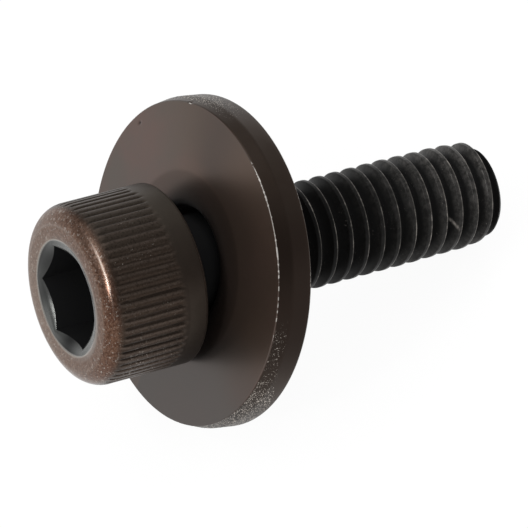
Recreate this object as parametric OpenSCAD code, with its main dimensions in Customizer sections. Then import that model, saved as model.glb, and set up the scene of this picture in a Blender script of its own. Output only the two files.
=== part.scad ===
// Socket head cap screw with a thick loose washer, lying at rest on the washer's rim and the screw's tip.
// Sizes are in millimetres. Each piece is drawn on its own axis first and laid down by the Rest section's values.

/* [Screw] */
// Diameter over the thread crests
thread_d = 5.88; // [5.6:0.01:6]
// Length from under the head to the tip
screw_l = 20; // [16:0.5:40]
// Diameter of the plain neck under the head
neck_d = 5.5; // [5:0.02:5.56]
// Length of the plain neck
neck_l = 3.2; // [2:0.1:5]
// Length over which the thread runs out onto the neck
runout_l = 0.8; // [0.6:0.1:1.5]
// Length of the lead cone at the tip
lead_l = 0.65; // [0.3:0.05:1.2]
// Diameter of the flat end of the tip
tip_d = 4.6; // [3.6:0.05:5.2]
// Radius of the fillet between the neck and the head
neck_fillet = 0.25; // [0.1:0.05:0.35]

/* [Head] */
// Diameter over the knurl
head_d = 10; // [9:0.05:12]
// Height of the head
head_h = 6; // [5:0.05:8]
// Rounding of the edge around the top face
head_round = 1.2; // [0.2:0.05:1.4]
// Bevel of the edge around the bearing face
bearing_bevel = 0.12; // [0.05:0.01:0.4]
// Number of knurl grooves
knurl_n = 62; // [40:1:80]
// Depth of the knurl grooves
knurl_depth = 0.12; // [0.06:0.01:0.2]
// Share of the knurl's pitch that each flat crest takes
knurl_crest = 0.4; // [0.2:0.05:0.6]
// Height of the smooth band between the knurl and the bearing face
band_h = 1.2; // [0.6:0.05:2]

/* [Socket] */
// Width of the hexagon across its flats
socket_af = 5; // [4:0.05:6]
// Depth of the hexagon's flats
socket_depth = 3; // [2:0.1:3.6]
// Depth of the cone at the socket's bottom
socket_point = 0.7; // [0.3:0.05:1]
// Diameter of the lead-in cone at the top face
leadin_d = 6.45; // [6:0.05:7.2]
// Full angle of the lead-in cone
leadin_angle = 120; // [90:1:140]
// Turn of the hexagon about the screw's axis
socket_turn = 11.5; // [0:0.5:59.5]

/* [Washer] */
// Outside diameter of the washer
washer_d = 18; // [14:0.1:24]
// Thickness of the washer
washer_t = 2; // [1.2:0.05:3]
// Bore of the washer
bore_d = 6.2; // [6.1:0.02:6.6]
// How far the torn part of the punched rim tapers in at the face on the head's side
tear_in = 0.2; // [0.05:0.01:0.4]
// Height of the torn part of the rim
tear_h = 0.8; // [0.3:0.05:1]
// Rounding that the punch draws on the rim's other edge
rim_round = 0.12; // [0.05:0.01:0.3]

/* [Rest] */
// Gap left where the bore's edges bear on the screw
jam_gap = 0.01; // [0.005:0.005:0.05]
// Gap between the washer and the head's bearing edge where they come closest
head_gap = 0.3; // [0.1:0.05:0.8]

/* [Hidden] */
$fn = 96;
eps = 0.01;

thread_r = thread_d / 2;
neck_r = neck_d / 2;
head_r = head_d / 2;
washer_r = washer_d / 2;
bore_r = bore_d / 2;

// The loose washer leans until opposite edges of its bore meet the neck below and the thread above.
lean = acos((thread_r + neck_r + 2 * jam_gap) / norm([bore_d, washer_t])) - atan2(washer_t, bore_d);
washer_up = bore_r * cos(lean) - neck_r - jam_gap;
bearing_r = head_r - bearing_bevel;
washer_at = ((bearing_r + washer_up) * sin(lean) + head_gap) / cos(lean);

// The washer stands on its rounded edge, whose rounding is centred so far below the screw's axis and along it.
round_r = washer_r - rim_round;
round_z = washer_t - rim_round;
rim_down = round_r * cos(lean) + round_z * sin(lean) - washer_up;
rim_at = washer_at + round_z * cos(lean) - round_r * sin(lean);

// The screw then tips down until the end of its thread meets the floor that this edge stands on.
lead_at = screw_l - lead_l;
fall = rim_down - thread_r;
span = lead_at - rim_at;
tip_down = acos(-rim_round / norm([fall, span])) - atan2(span, fall);

// World height and length of a point that lies so far below the screw's axis and so far along it.
function level(down, along) = -down * cos(tip_down) - along * sin(tip_down);
function reach(down, along) = -down * sin(tip_down) + along * cos(tip_down);

floor_at = level(rim_down, rim_at) - rim_round;
head_end = reach(head_r - head_round, head_round - head_h) - head_round;
front_r = washer_r - tear_in;
rim_front = reach(front_r * cos(lean) - washer_up, washer_at - front_r * sin(lean));
tip_end = max(reach(-tip_d / 2, screw_l), reach(-thread_r, lead_at));
middle = (min(head_end, rim_front) + tip_end) / 2;

leadin_r = leadin_d / 2;
leadin_foot = socket_af / 2 - 0.1;
leadin_h = (leadin_r - leadin_foot) / tan(leadin_angle / 2);

// Lays a piece drawn on the screw's axis, tip up, in its rest place on the floor.
module laid() {
    translate([-middle, 0, -floor_at]) rotate([0, 90 + tip_down, 0]) children();
}

// Outline of the head without its knurl: rounded at the top face, bevelled at the bearing face.
module head_outline() {
    translate([0, head_round - head_h]) square([head_r, head_h - head_round - bearing_bevel]);
    translate([0, -head_h]) square([head_r - head_round, head_h]);
    translate([head_r - head_round, head_round - head_h]) circle(head_round);
    polygon([[0, 0], [bearing_r, 0], [head_r, -bearing_bevel], [0, -bearing_bevel]]);
}

// One turn of knurl as a plan: flat crests with a vee groove between each pair.
module knurl_plan() {
    step = 360 / knurl_n;
    half = step * knurl_crest / 2;
    crest = head_r / cos(half);
    root = head_r - knurl_depth;
    points = [
        for (i = [0 : knurl_n - 1])
            for (p = [[crest, -half], [crest, half], [root, step / 2]])
                [p[0] * cos(i * step + p[1]), p[0] * sin(i * step + p[1])]
    ];
    polygon(points);
}

module knurled_head() {
    intersection() {
        rotate_extrude() head_outline();
        union() {
            translate([0, 0, -head_h - 1]) linear_extrude(head_h + 1 - band_h) knurl_plan();
            translate([0, 0, -band_h]) cylinder(h = band_h + 1, r = head_r + 1);
        }
    }
}

module hex_socket() {
    turned = [0, 0, socket_turn];
    rotate(turned) translate([0, 0, -head_h - 1])
        cylinder(h = socket_depth + 1, r = socket_af / 2 / cos(30), $fn = 6);
    translate([0, 0, -head_h]) cylinder(h = leadin_h, r1 = leadin_r, r2 = leadin_foot);
    translate([0, 0, -head_h - 1]) cylinder(h = 1, r = leadin_r);
    translate([0, 0, socket_depth - head_h])
        cylinder(h = socket_point, r1 = leadin_foot, r2 = leadin_foot * 0.1);
}

// Half outline of the neck, the thread's run-out, the thread's crests and the lead cone.
module shank_outline() {
    crest_at = neck_l + runout_l;
    polygon([
        [0, -eps], [neck_r, -eps], [neck_r, neck_l], [thread_r, crest_at],
        [thread_r, lead_at], [tip_d / 2, screw_l], [0, screw_l]
    ]);
    difference() {
        translate([neck_r - eps, -eps]) square([neck_fillet + eps, neck_fillet + eps]);
        translate([neck_r + neck_fillet, neck_fillet]) circle(neck_fillet);
    }
}

module cap_screw() {
    color("dimgray") laid() {
        difference() {
            knurled_head();
            hex_socket();
        }
        rotate_extrude() shank_outline();
    }
}

// Half outline of the punched washer: torn and tapered next to the head, then sheared smooth, then rounded.
module washer_outline() {
    polygon([[bore_r, 0], [front_r, 0], [washer_r, tear_h], [washer_r, round_z], [round_r, round_z],
             [round_r, washer_t], [bore_r, washer_t]]);
    translate([round_r, round_z]) circle(rim_round);
}

module flat_washer() {
    color("slategray") laid() translate([-washer_up, 0, washer_at]) rotate([0, lean, 0])
        rotate_extrude() washer_outline();
}

cap_screw();
flat_washer();
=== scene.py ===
# %% [markdown]
# # A socket head cap screw with a loose washer
# The real object is two pieces of blackened steel: a forged screw with a knurled head and a rolled
# thread, and a thick punched washer that hangs askew on its neck. This lesson dresses the imported solids
# with the detail that a drawing leaves out: rounded knurl ridges, a real thread, a torn rim and a worn
# finish, with painted shade, painted highlights and a painted reflection in its colours. The imported
# model comes first, because every piece below is placed in its frame and nothing is fitted by eye.

# %% Load the imported frame
import math

import bmesh
import bpy
import numpy as np
from mathutils import Matrix, Vector


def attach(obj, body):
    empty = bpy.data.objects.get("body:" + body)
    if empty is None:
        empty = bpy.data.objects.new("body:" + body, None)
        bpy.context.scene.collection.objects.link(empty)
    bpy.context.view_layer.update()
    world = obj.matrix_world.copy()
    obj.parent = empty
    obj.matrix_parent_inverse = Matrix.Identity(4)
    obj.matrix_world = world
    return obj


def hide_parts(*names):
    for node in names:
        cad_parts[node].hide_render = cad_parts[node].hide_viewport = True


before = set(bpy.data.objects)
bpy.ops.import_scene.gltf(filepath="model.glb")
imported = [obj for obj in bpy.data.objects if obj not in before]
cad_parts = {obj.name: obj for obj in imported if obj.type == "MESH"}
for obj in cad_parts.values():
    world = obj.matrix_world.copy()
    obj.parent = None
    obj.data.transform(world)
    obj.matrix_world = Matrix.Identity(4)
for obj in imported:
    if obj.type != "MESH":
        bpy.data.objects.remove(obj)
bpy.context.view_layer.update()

MM = 0.001

# %% [markdown]
# ## Where things lie
# The screw lies on the floor on the end of its thread and on the washer's back edge. It is easier to
# shape it on a straight axis, so all its points are first written in millimetres with x pointing down, y
# across and z along the axis, from the head's bearing face (z = 0) to the tip. One function then lays
# those points down in the frame, and a second one leans the washer on the neck before that.

# %% Lay the screw down and lean the washer
TIP_DOWN = math.radians(18.483123773459123)
LEAN = math.radians(10.899143792055495)
MIDDLE, FLOOR_AT = 6.370200779969375, -8.922786102668887
WASHER_UP, WASHER_AT = 0.28408076892370615, 1.2998761282450895


def lay_down(points):
    """Takes points on the screw's own axis, in mm, to the frame, in metres."""
    x, y, z = np.asarray(points, float).T
    sink, run = math.sin(TIP_DOWN), math.cos(TIP_DOWN)
    return np.stack([run * z - sink * x - MIDDLE, y, -run * x - sink * z - FLOOR_AT], -1) * MM


def lean_washer(points):
    """Takes points on the washer's own axis, in mm, to the frame, in metres."""
    x, y, z = np.asarray(points, float).T
    sink, run = math.sin(LEAN), math.cos(LEAN)
    return lay_down(np.stack([run * x + sink * z - WASHER_UP, y, run * z - sink * x + WASHER_AT], -1))


print("bearing face centre in mm:", np.round(lay_down([[0, 0, 0]])[0] / MM, 3))

# %% [markdown]
# ## A camera far away
# The photograph was taken with a long lens: the washer's two edges are nearly the same ellipse. A camera
# was fitted to the outlines of the head, the socket, the thread and the washer, and its place and turn
# are written here as three directions. The lens is long because the object is small and the camera stands
# well back.

# %% Set up the camera
CAMERA_AT = Vector((-90.995, -245.963, 316.667)) * MM
CAMERA_RIGHT = Vector((0.863673, -0.486098, -0.133333))
CAMERA_UP = Vector((0.452418, 0.63096, 0.630244))
CAMERA_BACK = Vector((-0.222232, -0.604647, 0.764863))
IMAGE_PIXELS, FOCAL_PIXELS = 528, 7500.0

lens = bpy.data.cameras.new("long_lens")
lens.sensor_fit, lens.sensor_width = "HORIZONTAL", 36.0
lens.lens = lens.sensor_width * FOCAL_PIXELS / IMAGE_PIXELS
lens.clip_start, lens.clip_end = 0.01, 50.0
camera = bpy.data.objects.new("photo_camera", lens)
turn = Matrix((CAMERA_RIGHT, CAMERA_UP, CAMERA_BACK)).transposed().to_4x4()
camera.matrix_world = Matrix.Translation(CAMERA_AT) @ turn
bpy.context.scene.collection.objects.link(camera)
bpy.context.scene.camera = camera
print("lens in mm:", round(lens.lens, 1), "camera distance in mm:", round(CAMERA_AT.length / MM, 1))

# %% [markdown]
# ## Grids that close round an axis
# A turned piece could be made with the Screw modifier, but then a knurl or a hexagon needs booleans. Here
# each turned surface is a grid instead: rows follow the outline, columns go round the axis, and every
# point is free to move. The grid can be round in one row and six-sided in the next. Merging the doubles
# at the axis closes the ends. Named amounts on the points, from 0 to 1, remember which zone a point
# belongs to, for the finishes later.

# %% Helpers for turned grids
SHARP_DEGREES, MERGE_MM = 35.0, 0.0001


def round_faces(rows, columns):
    """Quads of a grid whose last column joins its first one."""
    row, column = np.meshgrid(np.arange(rows - 1), np.arange(columns), indexing="ij")
    here, below = row * columns, (row + 1) * columns
    after = (column + 1) % columns
    quads = [here + column, here + after, below + after, below + column]
    return np.stack(quads, -1).reshape(-1, 4).tolist()


def turned(radius, along, angle):
    """Points of a grid from a radius and a place along the axis for each row and column."""
    across = np.broadcast_to(angle, radius.shape)
    return np.stack([radius * np.cos(across), radius * np.sin(across), along], -1).reshape(-1, 3)


def make_piece(name, points, faces, zones):
    """Builds one mesh with its zones, merges doubles and turns the faces outwards."""
    mesh = bpy.data.meshes.new(name)
    mesh.from_pydata(points.tolist(), [], faces)
    for zone, amount in zones.items():
        values = np.asarray(amount, np.float32).ravel()
        mesh.attributes.new(zone, "FLOAT", "POINT").data.foreach_set("value", values)
    work = bmesh.new()
    work.from_mesh(mesh)
    bmesh.ops.remove_doubles(work, verts=work.verts, dist=MERGE_MM * MM)
    bmesh.ops.recalc_face_normals(work, faces=work.faces)
    work.to_mesh(mesh)
    work.free()
    mesh.shade_smooth()
    mesh.set_sharp_from_angle(angle=math.radians(SHARP_DEGREES))
    piece = bpy.data.objects.new(name, mesh)
    bpy.context.scene.collection.objects.link(piece)
    triangles = sum(len(face.vertices) - 2 for face in mesh.polygons)
    print(name, "has", len(mesh.vertices), "points and", triangles, "triangles")
    return piece


def ease(low, high, value):
    """Rises smoothly from 0 at low to 1 at high."""
    share = np.clip((np.asarray(value, float) - low) / (high - low), 0.0, 1.0)
    return share * share * (3.0 - 2.0 * share)


def wander(angle, seed, waves, power=0.6):
    """A closed, smooth and repeatable unevenness round the axis, about -1 to 1."""
    chance = np.random.default_rng(seed)
    total = np.zeros_like(angle)
    for wave in range(1, waves + 1):
        phase, strength = chance.uniform(0, 2 * math.pi), chance.uniform(0.5, 1.0)
        total += wave ** -power * np.sin(wave * angle + phase) * strength
    return total / max(1e-9, np.abs(total).max())


# %% [markdown]
# ## The knurled head with its socket
# On the real screw the head is forged, its side is rolled between toothed dies and its socket is punched.
# The rolled ridges are broad and rounded with narrow grooves between them; they fade on the rounded top
# edge and stop at a smooth band. With twelve columns to each of the 62 grooves the grid can carry that
# shape, and because the number of columns also divides by six, the socket's corners fall exactly on
# columns and stay sharp.

# %% Sizes of the head
HEAD_R, HEAD_H, HEAD_ROUND, BEARING_BEVEL = 5.0, 6.0, 1.2, 0.12
GROOVES, GROOVE_DEPTH, BAND_H = 62, 0.12, 1.2
SOCKET_AF, SOCKET_DEPTH, SOCKET_POINT, SOCKET_TURN = 5.0, 3.0, 0.7, 11.5
LEADIN_R, LEADIN_SLOPE = 3.225, math.tan(math.radians(60.0))
NECK_R, NECK_L, NECK_FILLET = 2.75, 3.2, 0.25
COLUMNS_A_GROOVE = 12
HEAD_COLUMNS = GROOVES * COLUMNS_A_GROOVE
head_angle = math.radians(SOCKET_TURN) + np.arange(HEAD_COLUMNS) * 2 * math.pi / HEAD_COLUMNS
flat_angle = np.radians((np.degrees(head_angle) - SOCKET_TURN) % 60.0 - 30.0)
hex_r = SOCKET_AF / 2 / np.cos(flat_angle)
knurl_pitch = 2 * math.pi * HEAD_R / GROOVES
print("socket across corners in mm:", round(2 * hex_r.max(), 3), "knurl pitch in mm:", round(knurl_pitch, 3))

# %% Groove shape round the head
GROOVE_MIDDLE, GROOVE_WIDTH = 0.5, 0.17
LIP_AT, LIP_STEEP, LIP_GENTLE = 0.76, 0.10, 0.22
groove_place = (np.arange(HEAD_COLUMNS) + 0.5) / COLUMNS_A_GROOVE
groove_number = np.floor(groove_place).astype(int)
across = groove_place % 1.0
groove = np.exp(-((across - GROOVE_MIDDLE) / GROOVE_WIDTH) ** 2)
# lip: a thin painted highlight line along each ridge, beside its groove, where light would catch the ridge's
# edge.
lip = np.exp(-((across - LIP_AT) / np.where(across < LIP_AT, LIP_STEEP, LIP_GENTLE)) ** 2)
chance = np.random.default_rng(11)
groove_strength = chance.uniform(0.72, 1.0, GROOVES)[groove_number]
groove_start = chance.uniform(0.18, 0.5, GROOVES)[groove_number]
groove_stop = chance.uniform(0.0, 0.16, GROOVES)[groove_number]
groove = groove * groove_strength


def bump_at(angle, middle, width):
    """A soft bump round the axis, in degrees."""
    return np.exp(-(((np.degrees(angle) - middle + 180.0) % 360.0 - 180.0) / width) ** 2)


worn = bump_at(head_angle, 195.0, 45.0)
# Painted light: the knurl and band are painted lighter on their upper side, and the band a little near its
# bottom too.
faded = bump_at(head_angle, 172.0, 30.0)
band_faded = np.maximum(faded, 0.35 * bump_at(head_angle, 264.0, 24.0))
gritty = bump_at(head_angle, 288.0, 26.0)
print("grooves:", GROOVES, "deepest in mm:", round(GROOVE_DEPTH * groove.max(), 3))

# %% Rows of the socket, from its bottom up
head_rows = []


def head_row(radius, along, **zones):
    """Adds one row; a radius, a place or a zone may differ from column to column."""
    whole = np.ones(HEAD_COLUMNS)
    amounts = {zone: whole * amount for zone, amount in zones.items()}
    head_rows.append((whole * radius, whole * along, amounts))


# The deep zone paints the socket, the bearing face, the fillet and the neck nearly black and dull: painted
# shade.
SOCKET_END, SOCKET_CONE_R = SOCKET_DEPTH - HEAD_H, 2.4
for radius in (0.0, 2.3):
    head_row(radius, SOCKET_END + SOCKET_POINT * (1 - radius / SOCKET_CONE_R), deep=1.0)
head_row(hex_r - 0.05, SOCKET_END + 0.005, deep=1.0)
for height in (0.0, 2.2):
    head_row(hex_r, SOCKET_END - height, deep=1.0)
print("rows so far:", len(head_rows))

# %% Lead-in and flat top
LEADIN_SWELL, RIM_SINK = 0.23, 0.06
leadin_wide = LEADIN_R - hex_r
leadin_foot = leadin_wide / LEADIN_SLOPE - HEAD_H
leadin_rise = -HEAD_H + RIM_SINK - leadin_foot
# Painted dark reflection: the lead-in is painted darker on two sides through the deep zone.
oily = 0.95 * bump_at(head_angle, 344.0, 24.0) + 0.8 * bump_at(head_angle, 100.0, 42.0)
oily = np.minimum(oily + 0.5 * bump_at(head_angle, 52.0, 16.0), 1.0)
pale = bump_at(head_angle, 45.0, 75.0)
# Painted highlight: the socket's rim is painted as a thin bright line and a lighter ring, mostly on one side,
# where light catches it.
ring = 0.12 + 0.88 * bump_at(head_angle, 252.0, 52.0)
head_row(hex_r, leadin_foot + 0.02, deep=1.0)
for share in (0.0, 0.06, 0.12, 0.2, 0.3, 0.42, 0.55, 0.7, 0.85):
    swell = LEADIN_SWELL * leadin_wide * math.sin(math.pi * share) * (1 - share)
    head_row(hex_r + leadin_wide * share, leadin_foot + leadin_rise * share - swell, bare=1.0, deep=oily)
keen = bump_at(head_angle, 230.0, 60.0)
head_row(LEADIN_R - 0.012, -HEAD_H + 0.062, bare=1.0, rim=0.6 + 0.4 * keen)
RIM_ROWS = ((0.02, 0.05, 0.75), (0.08, 0.036, 0.6), (0.15, 0.022, 0.5), (0.24, 0.009, 0.4),
            (0.33, 0.002, 0.15))
for outward, sink, shine in RIM_ROWS:
    line = 0.7 * ring if outward > 0.05 else 0.7 + 0.6 * keen
    head_row(LEADIN_R + outward, -HEAD_H + sink, bare=0.9 * shine * ring, rim=shine * line, copper=1.0,
             faded=pale)
for radius in (3.64, 3.73):
    head_row(radius, -HEAD_H, copper=1.0, faded=pale)
print("rows so far:", len(head_rows))

# %% Rounded edge
rounding_r, rounding_z = HEAD_R - HEAD_ROUND, HEAD_ROUND - HEAD_H


def groove_begin(along):
    """How far each groove has set in at one height: they start unevenly on the rounded edge."""
    return ease(0.25, 0.55, along + HEAD_H - groove_start)


ROUND_ROWS = (0, 5, 9, 12, 15, 20, 26, 33, 40, 44, 46.5, 48.5, 50.5, 53, 57, 62, 67, 72, 77, 82, 86, 90)
EDGE_LINE_AT, RING_LINE_AT = 48.5, 12
shallow, dull = 1.0 - 0.35 * worn, 1.0 - 0.65 * worn
# The round zone paints the rounding darker copper, partly its real tone and partly painted shade for the
# turned-away edge; far_side and left_side weaken it on those sides.
far_side = 1.0 - 0.85 * bump_at(head_angle, 105.0, 50.0)
left_side = 1.0 - 0.65 * bump_at(head_angle, 193.0, 24.0)
# Painted highlights on the rounded edge: a thin bright line, partly real wear and partly painted highlight,
# and a fainter painted line at the crease to the flat top.
edge_side = bump_at(head_angle, 211.0, 19.0)
ring_side = 0.35 + 0.65 * bump_at(head_angle, 130.0, 50.0)
for degrees in ROUND_ROWS:
    lift = math.radians(degrees)
    envelope = rounding_r + HEAD_ROUND * math.sin(lift)
    along = rounding_z - HEAD_ROUND * math.cos(lift)
    begin = groove_begin(along)
    cut = GROOVE_DEPTH * groove * begin * shallow
    edge_line = 0.8 * math.exp(-((degrees - EDGE_LINE_AT) / 1.8) ** 2) * edge_side
    ring_line = 0.30 * math.exp(-((degrees - RING_LINE_AT) / 3.0) ** 2) * ring_side
    head_row(np.minimum(envelope, HEAD_R - cut), along, copper=1.0 - ease(0.38, 0.85, along + HEAD_H),
             lip=lip * begin, groove=groove * begin * dull, rim=np.maximum(edge_line, ring_line),
             faded=np.maximum(faded * ease(62, 86, degrees), pale * (1.0 - ease(40, 70, degrees))),
             round=ease(6, 24, degrees) * (1.0 - ease(58, 84, degrees)) * far_side * left_side)
print("rows so far:", len(head_rows))

# %% Knurl, smooth band and bearing face
KNURL_ROWS = (-4.65, -4.5, -4.25, -4.0, -3.4, -2.8, -2.2, -1.8, -1.7, -1.6, -1.52, -1.44, -1.36, -1.28,
              -BAND_H)
for along in KNURL_ROWS:
    fade = 1.0 - ease(-0.36, 0.0, along + BAND_H + groove_stop)
    begin = groove_begin(along)
    uneven = 1.0 - 0.16 * (0.5 + 0.5 * np.sin(groove_number * 2.4 + along * 1.7)) * (along < -1.5)
    head_row(HEAD_R - GROOVE_DEPTH * groove * fade * begin * uneven * shallow, along, band=1.0 - fade,
             groove=groove * fade * begin * dull, lip=lip * fade * begin * uneven, faded=faded,
             grit=gritty * fade * (1.0 - 0.7 * ease(-4.4, -3.0, along)))
for along in (-1.1, -0.8, -0.4, -0.2, -BEARING_BEVEL - 0.02):
    head_row(HEAD_R, along, band=1.0, faded=band_faded)
head_row(HEAD_R - 0.02, -BEARING_BEVEL + 0.02, band=1.0, rim=0.25, faded=band_faded)
head_row(HEAD_R - BEARING_BEVEL, 0.0, band=1.0)
for radius in (4.6, 3.4):
    head_row(radius, 0.0, deep=1.0)
print("rows so far:", len(head_rows))

# %% Fillet and neck
SCREW_ZONES = ("deep", "bare", "copper", "rim", "round", "groove", "lip", "band", "faded", "grit", "thread",
               "crest")


def zones_of(rows, names):
    """The zones of all rows; a zone that a row doesn't name is 0 there."""
    nothing = np.zeros_like(rows[0][0])
    return {name: np.stack([row[2].get(name, nothing) for row in rows]).ravel() for name in names}


for degrees in (0, 30, 60, 90):
    lift = math.radians(degrees)
    head_row(NECK_R + NECK_FILLET * (1 - math.sin(lift)), NECK_FILLET * (1 - math.cos(lift)), deep=1.0)
for along in (1.2, NECK_L):
    head_row(NECK_R, along, deep=1.0)
head_row(0.0, NECK_L, deep=1.0)
head_r = np.stack([row[0] for row in head_rows])
head_z = np.stack([row[1] for row in head_rows])
head_zones = zones_of(head_rows, SCREW_ZONES)
head_points = turned(head_r, head_z, head_angle)
head_faces = round_faces(len(head_rows), HEAD_COLUMNS)
print("head grid:", head_r.shape)

# %% [markdown]
# ## The rolled thread
# A thread is one ridge wound round the shank. It could be made with an array along a helix, but the ends
# would then need trimming. Here the rows of the grid climb with the helix: one turn further on, a row
# joins the row that lies one pitch along. The run-out and the lead cone then only have to limit the
# radius, and both ends come out flat. Seen from the side, the crests of the photographed screw climb the
# left-hand way, so the hand is a value here: plus one would wind the common right-hand thread.

# %% Thread sizes and profile
THREAD_R, THREAD_DEPTH, PITCH, THREAD_HAND = 2.94, 0.613, 1.0, -1
SCREW_L, LEAD_L, TIP_R, CREST_AT = 20.0, 0.65, 2.3, 4.0
THREAD_COLUMNS = 108
CREST_PHASE, CREST_ANGLE = 0.43, 133.5
CREST_HALF, CREST_SOFT, ROOT_SOFT = 0.125, 0.022, 0.035


def soft_rise(value, softness):
    """Follows the value above zero and zero below it, with a rounded bend."""
    return softness * np.logaddexp(0.0, value / softness)


def thread_drop(offset):
    """How deep the profile lies under its crest, at an offset in pitches from the crest's middle."""
    flank = soft_rise((np.abs(offset) - CREST_HALF) * PITCH * math.sqrt(3.0), CREST_SOFT)
    return -ROOT_SOFT * np.logaddexp(-flank / ROOT_SOFT, -THREAD_DEPTH / ROOT_SOFT)


half_rows = (0.04, 0.075, 0.1, 0.118, 0.135, 0.155, 0.2, 0.28, 0.36, 0.41, 0.455)
profile_rows = np.array([-0.5, *(-v for v in reversed(half_rows)), 0.0, *half_rows])
root_drop = float(thread_drop(np.array([0.5]))[0])
print("rows a pitch:", len(profile_rows), "drop at the root in mm:", round(root_drop, 3))

# %% Wind the thread
first_turn, last_turn = 1, 22
row_count = len(profile_rows)
turn_rows = (np.arange(first_turn, last_turn)[:, None] + profile_rows[None, :]).ravel()
thread_angle = np.arange(THREAD_COLUMNS) * 2 * math.pi / THREAD_COLUMNS
start = (CREST_PHASE - THREAD_HAND * CREST_ANGLE / 360.0) % 1.0
climb = start + THREAD_HAND * PITCH * np.arange(THREAD_COLUMNS) / THREAD_COLUMNS
thread_z = np.clip(turn_rows[:, None] * PITCH + climb[None, :], NECK_L, SCREW_L)
offset = np.tile(profile_rows, last_turn - first_turn)[:, None] * np.ones((1, THREAD_COLUMNS))
cut = thread_drop(offset) * ease(NECK_L, CREST_AT + 0.6, thread_z)
outside = NECK_R + (THREAD_R - NECK_R) * np.clip((thread_z - NECK_L) / (CREST_AT - NECK_L), 0, 1)
wear = 0.055 * ease(14.0, 17.0, thread_z) + 0.15 * ease(17.9, 19.2, thread_z)
wear = wear * (1.0 - bump_at(thread_angle, 0.0, 45.0))
lead_cone = THREAD_R - (THREAD_R - TIP_R) * (thread_z - (SCREW_L - LEAD_L)) / LEAD_L
thread_r = np.minimum(outside - cut - wear, np.maximum(lead_cone, TIP_R))
print("thread from", thread_z.min(), "to", thread_z.max(), "mm, turns:", round((SCREW_L - NECK_L) / PITCH, 1))

# %% Join the turns and close the ends
ROWS = len(turn_rows)
row, column = np.meshgrid(np.arange(ROWS - 1), np.arange(THREAD_COLUMNS), indexing="ij")
wrapped = column == THREAD_COLUMNS - 1
after_row = row + np.where(wrapped, THREAD_HAND * row_count, 0)
after_column = np.where(wrapped, 0, column + 1)
whole = (after_row >= 0) & (after_row + 1 < ROWS)
quads = np.stack([row * THREAD_COLUMNS + column, after_row * THREAD_COLUMNS + after_column,
                  (after_row + 1) * THREAD_COLUMNS + after_column, (row + 1) * THREAD_COLUMNS + column], -1)
# Rows beyond the two ends are pressed flat there, so faces without any height are left out.
NO_HEIGHT = 1e-9
quads = quads[whole]
quads = quads[np.ptp(thread_z.ravel()[quads], axis=1) > NO_HEIGHT]
thread_points = turned(thread_r, thread_z, thread_angle)
CUP_R, CUP_EDGE, CUP_DEPTH = 1.7, 0.01, 0.12
ends = np.array([[0.0, 0.0, NECK_L], [0.0, 0.0, SCREW_L - CUP_DEPTH]])
one_row = np.ones((1, THREAD_COLUMNS))
cup = turned(CUP_R * one_row, (SCREW_L - CUP_EDGE) * one_row, thread_angle)
thread_points = np.concatenate([thread_points, cup, ends])
last_row, cup_row = (ROWS - 1) * THREAD_COLUMNS, ROWS * THREAD_COLUMNS
neck_end, cup_end = cup_row + THREAD_COLUMNS, cup_row + THREAD_COLUMNS + 1
caps = []
for k in range(THREAD_COLUMNS):
    n = (k + 1) % THREAD_COLUMNS
    caps += [[k, n, neck_end], [last_row + k, last_row + n, cup_row + n, cup_row + k],
             [cup_row + k, cup_row + n, cup_end]]
print("thread faces:", len(quads) + len(caps))

# %% Zones of the thread, and the finished screw
# Painted highlight: a thin bright line on each crest's far edge, partly wear, broken up and weaker near the
# washer.
far_edge = np.exp(-((offset - 0.105) / 0.026) ** 2) * (thread_z < SCREW_L - 0.35)
SCRATCH_AT, SCRATCH_SIDE, SCRATCH_SLANT = 16.78, 256.0, 29.0
scratch = bump_at(thread_angle, SCRATCH_SIDE + SCRATCH_SLANT * (thread_z - SCRATCH_AT), 1.5)
scratch = scratch * np.exp(-((thread_z - SCRATCH_AT) / 0.19) ** 2)
patchy = 0.5 + 0.6 * wander(thread_angle[None, :] + turn_rows[:, None] * 0.7, 5, 14)
far_edge = far_edge * (0.55 + 0.45 * ease(5.0, 13.0, thread_z))
tail = np.zeros(THREAD_COLUMNS + 2)
thread_zones = {zone: np.zeros(len(thread_points)) for zone in SCREW_ZONES}
thread_zones["thread"][:] = 1.0
thread_zones["crest"] = np.concatenate([(far_edge * np.clip(patchy, 0, 1)).ravel(), tail])
thread_zones["rim"] = np.concatenate([scratch.ravel(), tail])
# Painted light and shade: the thread is painted lighter towards the tip, and darker near the washer and on
# one side, where shade falls.
dry = ease(6.0, 20.5, thread_z) ** 1.6 * (1.0 - 0.85 * ease(19.2, 19.5, thread_z))
dry = dry * (1.0 - 0.68 * bump_at(thread_angle, 268.0, 54.0))
thread_zones["bare"] = np.concatenate([dry.ravel(), tail + 0.1])
thread_zones["groove"] = np.concatenate([(cut / THREAD_DEPTH).ravel(), tail])
shift = len(head_points)
screw_faces = head_faces + (quads + shift).tolist() + [[v + shift for v in face] for face in caps]
screw = make_piece("knurled_cap_screw", lay_down(np.concatenate([head_points, thread_points])), screw_faces,
                   {zone: np.concatenate([head_zones[zone], thread_zones[zone]]) for zone in SCREW_ZONES})
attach(screw, "root")
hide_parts("cap_screw")

# %% [markdown]
# ## The punched washer
# A punch leaves three kinds of edge on a thick washer: a smooth sheared belt, a torn and slightly tapered
# belt, and a rounded edge where the sheet was drawn in. The torn belt lies next to the head here, so its
# front face is the smaller one. A bevel modifier can't tear metal, so the rows of that belt are pushed
# inwards by a coarse unevenness. It is strong on two stretches of the rim, as on the real washer, faint on
# a third one at the far side, and dies away between them.

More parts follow.
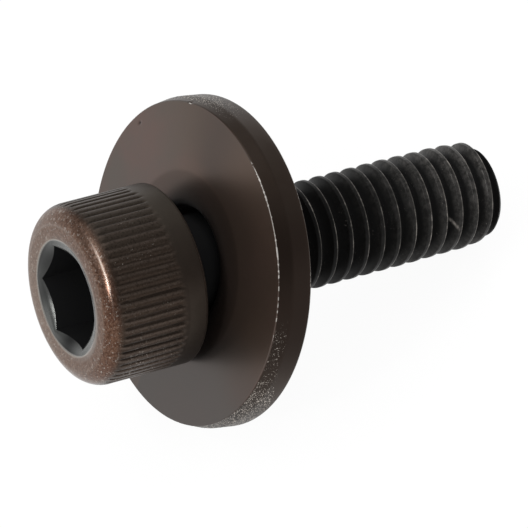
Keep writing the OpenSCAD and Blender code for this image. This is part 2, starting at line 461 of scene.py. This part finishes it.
# %% Sizes of the washer and its torn stretches
WASHER_R, WASHER_T, BORE_R, TEAR_IN, TEAR_H, RIM_ROUND = 9.0, 2.0, 3.1, 0.2, 0.8, 0.12
WASHER_COLUMNS = 720
washer_angle = np.arange(WASHER_COLUMNS) * 2 * math.pi / WASHER_COLUMNS
washer_degrees = np.degrees(washer_angle)
torn_top = ease(112, 130, washer_degrees) * (1 - ease(150, 178, washer_degrees))
torn_below = (0.25 + 0.75 * ease(272, 300, washer_degrees)) * ease(246, 262, washer_degrees)
torn_below = torn_below * (1 - ease(332, 352, washer_degrees))
torn_faint = 0.2 * ease(20, 35, washer_degrees) * (1 - ease(62, 85, washer_degrees))
torn_share = np.maximum(torn_below, torn_faint)
worn_share = ease(190, 197, washer_degrees) * (1 - 0.5 * ease(226, 244, washer_degrees))
worn_share = worn_share * (1 - ease(252, 268, washer_degrees))
# patina: the face is browner and darker on one side, partly a brown tone and partly painted shade.
patina = ease(112, 185, washer_degrees) * (1 - 0.8 * ease(262, 305, washer_degrees))
patina = patina * (1 - ease(345, 359, washer_degrees))
cool = ease(262, 315, washer_degrees)
shade = np.maximum(bump_at(washer_angle, 172.0, 17.0), 0.6 * bump_at(washer_angle, 281.0, 15.0))
# Painted shade: the rim is painted darker on one side.
rim_patina = ease(196, 228, washer_degrees) * (1 - ease(258, 290, washer_degrees))
print("torn share of the rim:", round(float(torn_share.mean()), 3))

# %% Rows of the washer: bore and front face
washer_rows = []


def washer_row(radius, along, **zones):
    """Adds one row of the washer; values may differ from column to column."""
    whole = np.ones(WASHER_COLUMNS)
    amounts = {zone: whole * amount for zone, amount in zones.items()}
    washer_rows.append((whole * radius, whole * along, amounts))


# Painted shade: the bore is painted nearly black, and the face round it and the dent darker.
BORE_ROWS = ((0.0, 1.0, 1.0), (0.0, 0.35, 1.0), (0.04, 0.19, 0.8), (0.15, 0.06, 0.5), (0.3, 0.0, 0.36))
for outward, along, black in BORE_ROWS:
    washer_row(BORE_R + outward, along, bore=black, mark=1.0)
FACE_ROWS = (3.55, 3.75, 4.0, 4.3, 4.7, 4.95, 5.05, 5.15, 5.3, 6.0, 7.0, 7.8, 8.16, 8.22, 8.28, 8.34, 8.4,
             8.46, 8.52, 8.6, 8.72)
DENT_SIDE, DENT_R, DENT_DEPTH = 117.0, 8.34, 0.06
for radius in FACE_ROWS:
    dent = np.exp(-((washer_degrees - DENT_SIDE) / 0.9) ** 2 - ((radius - DENT_R) / 0.09) ** 2)
    stain = 0.32 * (1.0 - ease(3.3, 4.3, radius))
    washer_row(radius, DENT_DEPTH * dent, face=1.0, bore=np.maximum(0.45 * dent, stain), cool=cool,
               mark=1.0 - ease(4.9, 5.2, radius), patina=patina * ease(3.2, 5.2, radius),
               shade=shade * ease(4.9, 5.6, radius))
print("rows so far:", len(washer_rows))

# %% Front edge and torn rim
FRONT_R, NICK_SIDE = WASHER_R - TEAR_IN, 151.5
chance = np.random.default_rng(23)
chips = np.clip(wander(washer_angle, 31, 160, 0.1) - 0.25, 0, 1) * torn_share
nick = np.exp(-((washer_degrees - NICK_SIDE) / 1.0) ** 2)
washer_row(FRONT_R - 0.05 - 0.05 * chips - 0.06 * nick, 0.0, face=1.0, cool=cool,
           edge=np.maximum(0.5 * worn_share, 0.9 * nick))
washer_row(FRONT_R - 0.014 - 0.05 * chips - 0.07 * nick, 0.016, face=0.5, cool=cool,
           edge=np.maximum(worn_share, nick))
washer_row(FRONT_R - 0.05 * chips - 0.07 * nick, 0.04, edge=np.maximum(0.55 * worn_share, nick))
torn_reach = 0.8 + 1.05 * ease(264, 294, washer_degrees) + 0.12 * wander(washer_angle, 43, 60, 0.3)
rim_waves = 0.004 * (0.5 + 0.5 * wander(washer_angle, 41, 24))
TORN_ROWS = (0.07, 0.13, 0.2, 0.28, 0.37, 0.47, 0.58, 0.69, TEAR_H, 0.92, 1.05, 1.2, 1.35, 1.5, 1.65,
             WASHER_T - RIM_ROUND)
for along in TORN_ROWS:
    tear = torn_share * (1 - ease(-0.25, 0.1, along - torn_reach))
    tear = np.maximum(tear, 0.6 * torn_top * ease(0.1, 0.45, along) * (1 - ease(1.45, 1.85, along)))
    rough = np.clip(chance.normal(0.5, 0.28, WASHER_COLUMNS), 0, 1) * tear
    depth = 0.026 * rough + 0.04 * nick * (1 - ease(0.03, 0.25, along)) + rim_waves
    washer_row(FRONT_R + TEAR_IN * min(1.0, along / TEAR_H) - depth, along, torn=tear, patina=rim_patina)
print("rows so far:", len(washer_rows))

# %% Rounded back edge, back face and bore; the finished washer
for degrees in (18, 36, 54, 72, 90):
    lift = math.radians(degrees)
    washer_row(WASHER_R - RIM_ROUND * (1 - math.cos(lift)), WASHER_T - RIM_ROUND * (1 - math.sin(lift)),
               back_edge=math.sin(2 * lift) if degrees < 90 else 0.2)
for radius in (8.5, 7.5, 6.0, 4.8, 3.7, BORE_R + 0.1):
    washer_row(radius, WASHER_T, face=0.7)
BURR_H, BURR_SIDE, BURR_WIDTH = 0.24, 108.0, 24.0
burr = BURR_H * np.exp(-((washer_degrees - BURR_SIDE) / BURR_WIDTH) ** 2)
burr_rows = ((BORE_R + 0.03 - burr, WASHER_T - 0.03), (BORE_R - burr, WASHER_T - 0.1),
             (BORE_R - 0.8 * burr, 1.5), (BORE_R, 1.0))
for radius, along in burr_rows:
    washer_row(radius, along, bore=1.0)
WASHER_ZONES = ("face", "mark", "cool", "patina", "shade", "edge", "torn", "bore", "back_edge")
washer_r = np.stack([row[0] for row in washer_rows])
washer_z = np.stack([row[1] for row in washer_rows])
washer_points = lean_washer(turned(washer_r, washer_z, washer_angle))
washer_faces = round_faces(len(washer_rows), WASHER_COLUMNS)
washer = make_piece("punched_washer", washer_points, washer_faces, zones_of(washer_rows, WASHER_ZONES))
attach(washer, "root")
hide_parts("flat_washer")

# %% [markdown]
# ## Writing finishes as sums
# A finish in Blender is a web of nodes, and drawing one by hand hides what it says. A small class that
# wraps a socket lets a finish be written as ordinary sums: `1 - mask * 0.5` adds the Math nodes by
# itself. Everything else comes from one method that takes the kind of node, its settings and its inputs.

# %% The wrapped socket and its node web
class Wire:
    """One socket of a node web. Sums with it add Math nodes."""

    def __init__(self, web, socket):
        self.web, self.socket = web, socket

    def sum(self, operation, one, other):
        return self.web.add("ShaderNodeMath", {"operation": operation}, {0: one, 1: other})

    def __add__(self, other):
        return self.sum("ADD", self, other)

    def __radd__(self, other):
        return self.sum("ADD", other, self)

    def __sub__(self, other):
        return self.sum("SUBTRACT", self, other)

    def __rsub__(self, other):
        return self.sum("SUBTRACT", other, self)

    def __mul__(self, other):
        return self.sum("MULTIPLY", self, other)

    def __rmul__(self, other):
        return self.sum("MULTIPLY", other, self)

    def __or__(self, other):
        return self.sum("MAXIMUM", self, other)


class Web:
    """The nodes of one material or world."""

    def __init__(self, owner):
        owner.use_nodes = True
        self.owner, self.tree = owner, owner.node_tree
        self.tree.nodes.clear()

    def add(self, kind, settings=None, inputs=None, output=0):
        """Adds one node: its settings are set first, then its inputs get values or links."""
        node = self.tree.nodes.new(kind)
        for name, value in (settings or {}).items():
            setattr(node, name, value)
        for name, value in (inputs or {}).items():
            if isinstance(value, Wire):
                self.tree.links.new(value.socket, node.inputs[name])
            else:
                node.inputs[name].default_value = value
        return Wire(self, node.outputs[output]) if len(node.outputs) else node


print("sums ready:", [name for name in ("__add__", "__rsub__", "__mul__", "__or__") if hasattr(Wire, name)])

# %% Patterns shared by both finishes
def in_mm(web):
    """The object's own coordinates in millimetres."""
    place = web.add("ShaderNodeTexCoord", output="Object")
    return web.add("ShaderNodeVectorMath", {"operation": "SCALE"}, {0: place, "Scale": 1 / MM})


def zone(web, name):
    """A zone that the mesh remembers."""
    return web.add("ShaderNodeAttribute", {"attribute_name": name}, output="Fac")


def speckle(place, scale, detail, rough):
    """Cloudy noise from 0 to 1."""
    inputs = {"Vector": place, "Scale": scale, "Detail": detail, "Roughness": rough}
    return place.web.add("ShaderNodeTexNoise", None, inputs)


def between(value, low, high):
    """Stretches a value to 0 at low and 1 at high, and clamps it."""
    settings = {"interpolation_type": "SMOOTHSTEP"}
    return value.web.add("ShaderNodeMapRange", settings, {0: value, 1: low, 2: high})


def blend(share, one, other):
    """Mixes two colours; each is a wire or three amounts of light."""
    one, other = (end if isinstance(end, Wire) else (*end, 1.0) for end in (one, other))
    return share.web.add("ShaderNodeMix", {"data_type": "RGBA"}, {0: share, 6: one, 7: other}, output=2)


print("patterns ready:", [pattern.__name__ for pattern in (in_mm, zone, speckle, between, blend)])

# %% [markdown]
# ## Burnished brown and painted shade: the screw
# The screw is blackened steel. Handling has burnished the top of the head to a coppery brown with a fine
# grain, and the punched lead-in stays smooth and grey. Painted shade makes the socket and the thread near
# the washer nearly black and the grooves of the knurl darker than its browner ridges, and painted highlights
# draw thin bright lines on ridges, crests and edges. Most of it is bare metal, whose colour is what it
# reflects; in the painted shade it is less so. The zones of the mesh decide where each finish shows.

# %% Colours of the screw
steel_skin = Web(bpy.data.materials.new("burnished_screw_steel"))
place = in_mm(steel_skin)
grain = speckle(place, 7.0, 5.0, 0.7)
patches = speckle(place, 0.55, 3.0, 0.5)
fleck = between(speckle(place, 11.0, 2.0, 0.5), 0.65, 0.72)
big_fleck = between(speckle(place, 4.6, 2.0, 0.6), 0.61, 0.67)
deep, bare, copper = (zone(steel_skin, name) for name in ("deep", "bare", "copper"))
rim, groove_zone, band = (zone(steel_skin, name) for name in ("rim", "groove", "band"))
threaded, crest, rounded = (zone(steel_skin, name) for name in ("thread", "crest", "round"))
lit_lip, faded_side = (zone(steel_skin, name) for name in ("lip", "faded"))

knurl_brown = blend(patches, (0.036, 0.027, 0.021), (0.052, 0.034, 0.025))
knurl_brown = blend(between(grain, 0.52, 0.72) * 0.5, knurl_brown, (0.105, 0.080, 0.064))
# faded_side paints the upper knurl and band lighter as painted light, and the pale side of the flat top
# greyer and lighter.
knurl_brown = blend(faded_side * 0.5, knurl_brown, (0.088, 0.076, 0.063))
# Painted highlight: the lip zone draws a thin lighter line on each knurl ridge.
knurl_brown = blend(lit_lip * (0.25 + grain * 0.9), knurl_brown, (0.105, 0.080, 0.066))
# Painted shade: the knurl grooves are painted much darker than their shape alone shades them.
knurl_brown = blend(groove_zone * (0.45 + grain * 0.75), knurl_brown, (0.014, 0.011, 0.009))
pits = between(speckle(place, 9.5, 3.0, 0.7), 0.50, 0.62)
knurl_brown = blend(pits * 0.5, knurl_brown, (0.017, 0.013, 0.010))
top_brown = blend(between(grain, 0.30, 0.70), (0.078, 0.046, 0.034), (0.236, 0.160, 0.124))
blotch = between(speckle(place, 2.4, 4.0, 0.65), 0.45, 0.65)
top_brown = blend(blotch * 0.6, top_brown, (0.115, 0.060, 0.040))
# The rounding's darker copper is its real tone with painted shade added.
rounding_brown = blend(between(grain, 0.35, 0.7), (0.062, 0.028, 0.017), (0.160, 0.088, 0.058))
top_brown = blend(rounded * 0.9, top_brown, rounding_brown)
top_brown = blend(faded_side * (0.15 + grain * 0.5), top_brown, (0.30, 0.25, 0.215))
skin = blend(copper, knurl_brown, top_brown)
band_brown = blend(patches, (0.026, 0.019, 0.015), (0.056, 0.044, 0.036))
skin = blend(band * 0.85, skin, blend(faded_side * 0.75, band_brown, (0.088, 0.075, 0.061)))
# bare: the lead-in's grey steel, shown more strongly on the lit side of the socket rim, and on the thread the
# painted lit share.
skin = blend(bare, skin, blend(patches, (0.098, 0.103, 0.098), (0.150, 0.150, 0.146)))
# Painted shade: the deep zone makes the socket, the neck and the bearing face nearly black.
skin = blend(deep, skin, (0.0098, 0.0098, 0.0102))
# Lit and shaded copies of the thread's colour; in both, the roots are painted against their real shading,
# lighter in oiled and darker in dry.
oiled = blend(groove_zone, (0.0036, 0.0035, 0.0034), (0.0105, 0.0103, 0.0103))
mottle = between(speckle(place, 3.4, 5.0, 0.7), 0.38, 0.64)
dry = blend(mottle, (0.040, 0.039, 0.037), (0.104, 0.099, 0.094))
dry = blend(between(groove_zone, 0.1, 0.75), dry, (0.024, 0.024, 0.024))
skin = blend(threaded, skin, blend(bare, oiled, dry))
broken = between(speckle(place, 1.7, 5.0, 0.75), 0.47, 0.62)
worn_crest = between(crest, 0.04, 0.3)
chips = between(speckle(place, 8.5, 2.0, 0.6), 0.585, 0.66) * zone(steel_skin, "grit")
dusty = fleck * (between(patches, 0.52, 0.62) * 0.5 + copper * 0.6)
dusty = dusty * (1 - deep) * (1 - band) * (1 - threaded * 0.7)
pecked = big_fleck * (copper * (1 - bare) | worn_crest * between(patches, 0.5, 0.58)) * 0.42
# rim is real wear on the thread's scratch and painted highlight on the socket rim, the crease and the bevel;
# on the head's edge line it is both.
bright = chips * (1 - groove_zone * 0.8) * 0.42 | rim * 0.75 | crest * (0.32 + broken * 0.68) | dusty | pecked
skin = blend(bright, skin, (0.46, 0.42, 0.38))
print("screw finish nodes so far:", len(steel_skin.tree.nodes))

# %% Gloss and grain of the screw
GRAIN_H = 0.000012
gloss = 0.40 + copper * (1 - rounded) * 0.04 - rounded * 0.18 - bare * (1 - threaded) * 0.16
gloss = gloss + deep * 0.15 + (grain - 0.5) * 0.2
metal = 0.85 * (1 - deep * 0.9) * (1 - threaded * (1 - bare) * 0.8) * (1 - threaded * groove_zone * 0.75)
height = grain * (0.35 + copper * 0.65) + patches * 0.4
uneven_skin = steel_skin.add("ShaderNodeBump", None, {
    "Strength": 0.35, "Distance": GRAIN_H, "Height": height})
steel_shader = steel_skin.add("ShaderNodeBsdfPrincipled", None, {
    "Base Color": skin, "Metallic": metal, "Roughness": gloss, "Specular IOR Level": 0.08,
    "Normal": uneven_skin})
steel_skin.add("ShaderNodeOutputMaterial", None, {"Surface": steel_shader})
screw.data.materials.append(steel_skin.owner)
print("screw finish nodes:", len(steel_skin.tree.nodes))

# %% [markdown]
# ## Satin brown-grey: the washer
# The washer was tumbled before it was blackened, so its face is satin and shows a soft reflection of the
# head, which is also painted in as a darker disc; the bore, a dent and the face round the bore carry painted
# shade, and one side of the face is browner and darker. The rim is a little rougher and browner and painted
# darker on one side, the torn belt has painted sparkles where its grains catch the light, and one stretch of
# the front edge is rubbed down to bright steel. That stretch breaks up into dots at its end, so the zone is
# multiplied with a fine noise there.

# %% Colours of the washer
washer_skin = Web(bpy.data.materials.new("satin_washer_steel"))
place = in_mm(washer_skin)
grain = speckle(place, 9.0, 5.0, 0.65)
coarse = speckle(place, 3.2, 3.0, 0.6)
clouds = speckle(place, 0.28, 3.0, 0.5)
face, edge, torn = (zone(washer_skin, name) for name in ("face", "edge", "torn"))
bore_zone, back_edge = (zone(washer_skin, name) for name in ("bore", "back_edge"))
face_grey = blend(between(clouds, 0.3, 0.7), (0.130, 0.089, 0.078), (0.106, 0.090, 0.080))
rim_brown = blend(between(clouds, 0.3, 0.7), (0.044, 0.031, 0.024), (0.055, 0.041, 0.033))
# Partly a brown tone, partly painted shade: these darken one side of the face and of the rim.
face_grey = blend(zone(washer_skin, "patina") * (0.55 + clouds * 0.5), face_grey, (0.112, 0.076, 0.057))
rim_brown = blend(zone(washer_skin, "patina") * 0.9, rim_brown, (0.022, 0.015, 0.012))
face_grey = blend(zone(washer_skin, "cool") * 0.85, face_grey, (0.089, 0.081, 0.077))
# Painted reflection: a darker disc round the bore stands for the head's reflection in the face.
face_grey = blend(zone(washer_skin, "mark") * 0.6, face_grey, (0.062, 0.044, 0.036))
face_grey = blend(zone(washer_skin, "shade") * 0.6, face_grey, (0.055, 0.047, 0.043))
coat = blend(face, rim_brown, face_grey)
thin_tear = 1 - between(torn, 0.05, 0.6)
# Painted glints: bright specks on the torn belt where its grains would catch the light.
sparkle = between(speckle(place, 13.0, 2.0, 0.6) - thin_tear * 0.07, 0.56, 0.62)
coat = blend(torn * 0.9, coat, (0.032, 0.026, 0.022))
sparkle = sparkle * between(torn, 0.02, 0.2) * (1 - thin_tear * 0.55)
coat = blend(sparkle, coat, (0.50, 0.45, 0.40))
# Painted shade: the bore, the face round it and the dent are darkened.
coat = blend(between(bore_zone, 0.0, 0.6), coat, (0.015, 0.014, 0.0145))
dots = between(speckle(place, 5.5, 1.0, 0.5), 0.50, 0.58)
solid = between(edge, 0.6, 0.95)
rubbed_back = back_edge * between(clouds, 0.4, 0.65) * dots * 0.35
rubbed = between(edge, 0.2, 0.6) * (solid + (1 - solid) * dots) | rubbed_back
coat = blend(rubbed, coat, (0.80, 0.76, 0.71))
print("washer finish nodes so far:", len(washer_skin.tree.nodes))

# %% Gloss and grain of the washer
gloss = 0.36 - face * 0.05 + torn * 0.10 + bore_zone * 0.4 + (grain - 0.5) * 0.08 + (coarse - 0.5) * 0.05
metal = 0.86 * (1 - between(bore_zone, 0.45, 1.0) * 0.9) + rubbed * 0.14
height = grain * (0.12 + torn * 2.2) + coarse * 0.15 * (1 - face)
TEAR_GRAIN_H = 0.000015
uneven_coat = washer_skin.add("ShaderNodeBump", None, {
    "Strength": 0.3, "Distance": TEAR_GRAIN_H, "Height": height})
washer_shader = washer_skin.add("ShaderNodeBsdfPrincipled", None, {
    "Base Color": coat, "Metallic": metal, "Roughness": gloss, "Specular IOR Level": 0.08,
    "Normal": uneven_coat})
washer_skin.add("ShaderNodeOutputMaterial", None, {"Surface": washer_shader})
washer.data.materials.append(washer_skin.owner)
print("washer finish nodes:", len(washer_skin.tree.nodes))

# %% [markdown]
# ## A white table and a soft studio
# Dark metal shows what stands around it, so the studio matters as much as the finish. The table is white
# to the camera and in the metal, which gives the satin face its lit grey. The walls are white down low
# and dimmer overhead, so that the knurl stays dark. One narrow strip lamp and a painted highlight line
# draw the thin bright line on the head's rounded edge, a small box beside it lights the head, and a big
# weak one fills in from above.

# %% The table
TABLE_R, TABLE_SINK = 4.0, 0.00002
bpy.ops.mesh.primitive_circle_add(vertices=96, radius=TABLE_R, fill_type="TRIFAN",
                                  location=(0, 0, -TABLE_SINK))
table = bpy.context.object
table.name = "white_table"
white = Web(bpy.data.materials.new("white_table_top"))
ray_names = ("Is Camera Ray", "Is Glossy Ray", "Is Transmission Ray")
ray_camera, ray_glossy, ray_through = (white.add("ShaderNodeLightPath", output=name) for name in ray_names)
glow = white.add("ShaderNodeEmission", None, {"Color": (1, 1, 1, 1), "Strength": 1.015})
paper = white.add("ShaderNodeBsdfDiffuse", None, {"Color": (0.86, 0.86, 0.86, 1)})
seen = (ray_camera | ray_glossy | ray_through) * 0.93
surface = white.add("ShaderNodeMixShader", None, {0: seen, 1: paper, 2: glow})
white.add("ShaderNodeOutputMaterial", None, {"Surface": surface})
table.data.materials.append(white.owner)
print("table radius in m:", TABLE_R)

# %% The walls
world = bpy.data.worlds.new("soft_studio")
bpy.context.scene.world = world
walls = Web(world)
direction = walls.add("ShaderNodeTexCoord", output="Generated")
upward = walls.add("ShaderNodeSeparateXYZ", None, {0: direction}, output="Z")
ray_camera, ray_glossy = (walls.add("ShaderNodeLightPath", output=name) for name in ray_names[:2])
overhead = between(upward, 0.06, 0.40)
dim_walls = 1.0 - overhead * 0.64
level = ray_camera + (1 - ray_camera) * (ray_glossy * dim_walls + (1 - ray_glossy) * 0.85)
backdrop = walls.add("ShaderNodeBackground", None, {"Color": (1, 1, 1, 1), "Strength": level})
walls.add("ShaderNodeOutputWorld", None, {"Surface": backdrop})
print("wall nodes:", len(walls.tree.nodes))

# %% The lamps
def soft_box(name, direction, along, distance, wide, long, radiance):
    """A lamp that looks at the object, long in one direction; its power follows from how bright it looks."""
    lamp = bpy.data.lights.new(name, "AREA")
    lamp.shape, lamp.size, lamp.size_y = "RECTANGLE", wide, long
    lamp.energy = radiance * math.pi * wide * long
    stand = bpy.data.objects.new(name, lamp)
    way = Vector(direction).normalized()
    length = (Vector(along) - Vector(along).dot(way) * way).normalized()
    facing = Matrix((length.cross(way), length, way)).transposed().to_4x4()
    stand.matrix_world = Matrix.Translation(way * distance) @ facing
    stand.visible_camera = False
    bpy.context.scene.collection.objects.link(stand)
    print(name, "power in W:", round(lamp.energy, 3))


soft_box("edge_strip", (-0.55, -0.035, 0.83), (-0.177, -0.683, -0.16), 0.35, 0.006, 0.27, 62.0)
soft_box("side_box", (-0.734, -0.30, 0.607), (0, 1, 0), 0.35, 0.04, 0.04, 45.0)
soft_box("sky_box", (0.10, 0.35, 0.93), (1, 0, 0), 0.60, 0.50, 0.50, 0.8)

# %% [markdown]
# ## Finishing the view
# The view transform is set to Standard.

# %% Set the view transform
bpy.context.scene.view_settings.view_transform = "Standard"
